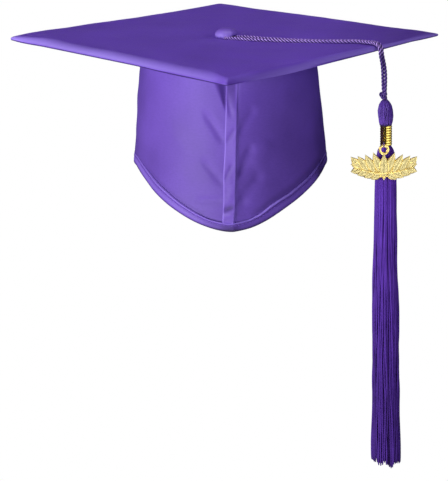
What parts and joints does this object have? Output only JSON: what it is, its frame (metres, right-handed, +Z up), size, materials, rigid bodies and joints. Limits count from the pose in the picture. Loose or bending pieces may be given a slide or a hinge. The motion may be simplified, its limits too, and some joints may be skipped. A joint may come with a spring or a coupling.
{
  "type": "graduation cap",
  "caption": "Square-topped graduation cap with a soft peaked crown, a covered button and a corded tassel that hangs over the rim with a gold band and leaf pendant.",
  "frame": {"origin": "in the head opening, on the button's axis, at the level of the side hem", "axes": "+Z up through the button, -Y to the front peak of the crown, +X to the viewer's right, towards the tassel"},
  "size_m": [0.3388, 0.3388, 0.3477],
  "materials": {
    "board_cloth": "matt satin-weave cloth",
    "crown_cloth": "matt satin-weave cloth",
    "lining_cloth": "thin plain-weave lining",
    "elastic": "ribbed elastic",
    "wadding": "soft wadding",
    "card": "stiff grey card",
    "cord": "shiny twisted rayon cord",
    "yarn": "shiny rayon yarn",
    "thread": "sewing thread",
    "gold": "bright gold plate",
    "glitter_gold": "gold plate with glitter",
    "steel": "plain"
  },
  "bodies": {
    "cap": {"board_top_cover": "board_cloth", "board_under_cover": "board_cloth", "board_padding": "wadding", "board_core": "card", "crown_left_panel": "crown_cloth", "crown_right_panel": "crown_cloth", "crown_left_lining": "lining_cloth", "crown_right_lining": "lining_cloth", "crown_lining_disc": "lining_cloth", "front_seam_fold": "crown_cloth", "hem_binding": "crown_cloth", "elastic_band": "elastic", "button_cover": "board_cloth", "button_shell": "steel", "button_back": "steel", "button_rivet": "steel", "rivet_washer": "steel"},
    "loop": {"loop_cord": "cord"},
    "drop": {"drop_cord": "cord"},
    "tassel": {"cord_knot": "cord", "tassel_head": "yarn", "tassel_binding": "thread", "tassel_band": "gold", "charm_tie": "thread"},
    "fringe_skirt": {"fringe": "yarn"},
    "pendant": {"charm": "glitter_gold"}
  },
  "joints": [
    {"name": "tassel_turn", "type": "hinge", "parent": "cap", "child": "loop", "pos_m": [0, 0, 0.101], "axis": [0, 0, 1], "range_deg": [-40, 0]},
    {"name": "drop_swing_out", "type": "hinge", "parent": "loop", "child": "drop", "pos_m": [0.12016, -0.05445, 0.0949], "axis": [-0.7071, -0.7071, 0], "range_deg": [0, 75]},
    {"name": "tassel_swing_side", "type": "hinge", "parent": "drop", "child": "tassel", "pos_m": [0.12391, -0.05268, 0.062], "axis": [0.7071, -0.7071, 0], "range_deg": [-35, 35]},
    {"name": "fringe_sway", "type": "hinge", "parent": "tassel", "child": "fringe_skirt", "pos_m": [0.12391, -0.05268, 0.0245], "axis": [0, 1, 0], "range_deg": [-15, 15]},
    {"name": "pendant_swing", "type": "hinge", "parent": "tassel", "child": "pendant", "pos_m": [0.1222, -0.0611, 0.0237], "axis": [-1, 0, 0], "range_deg": [0, 75]}
  ]
}
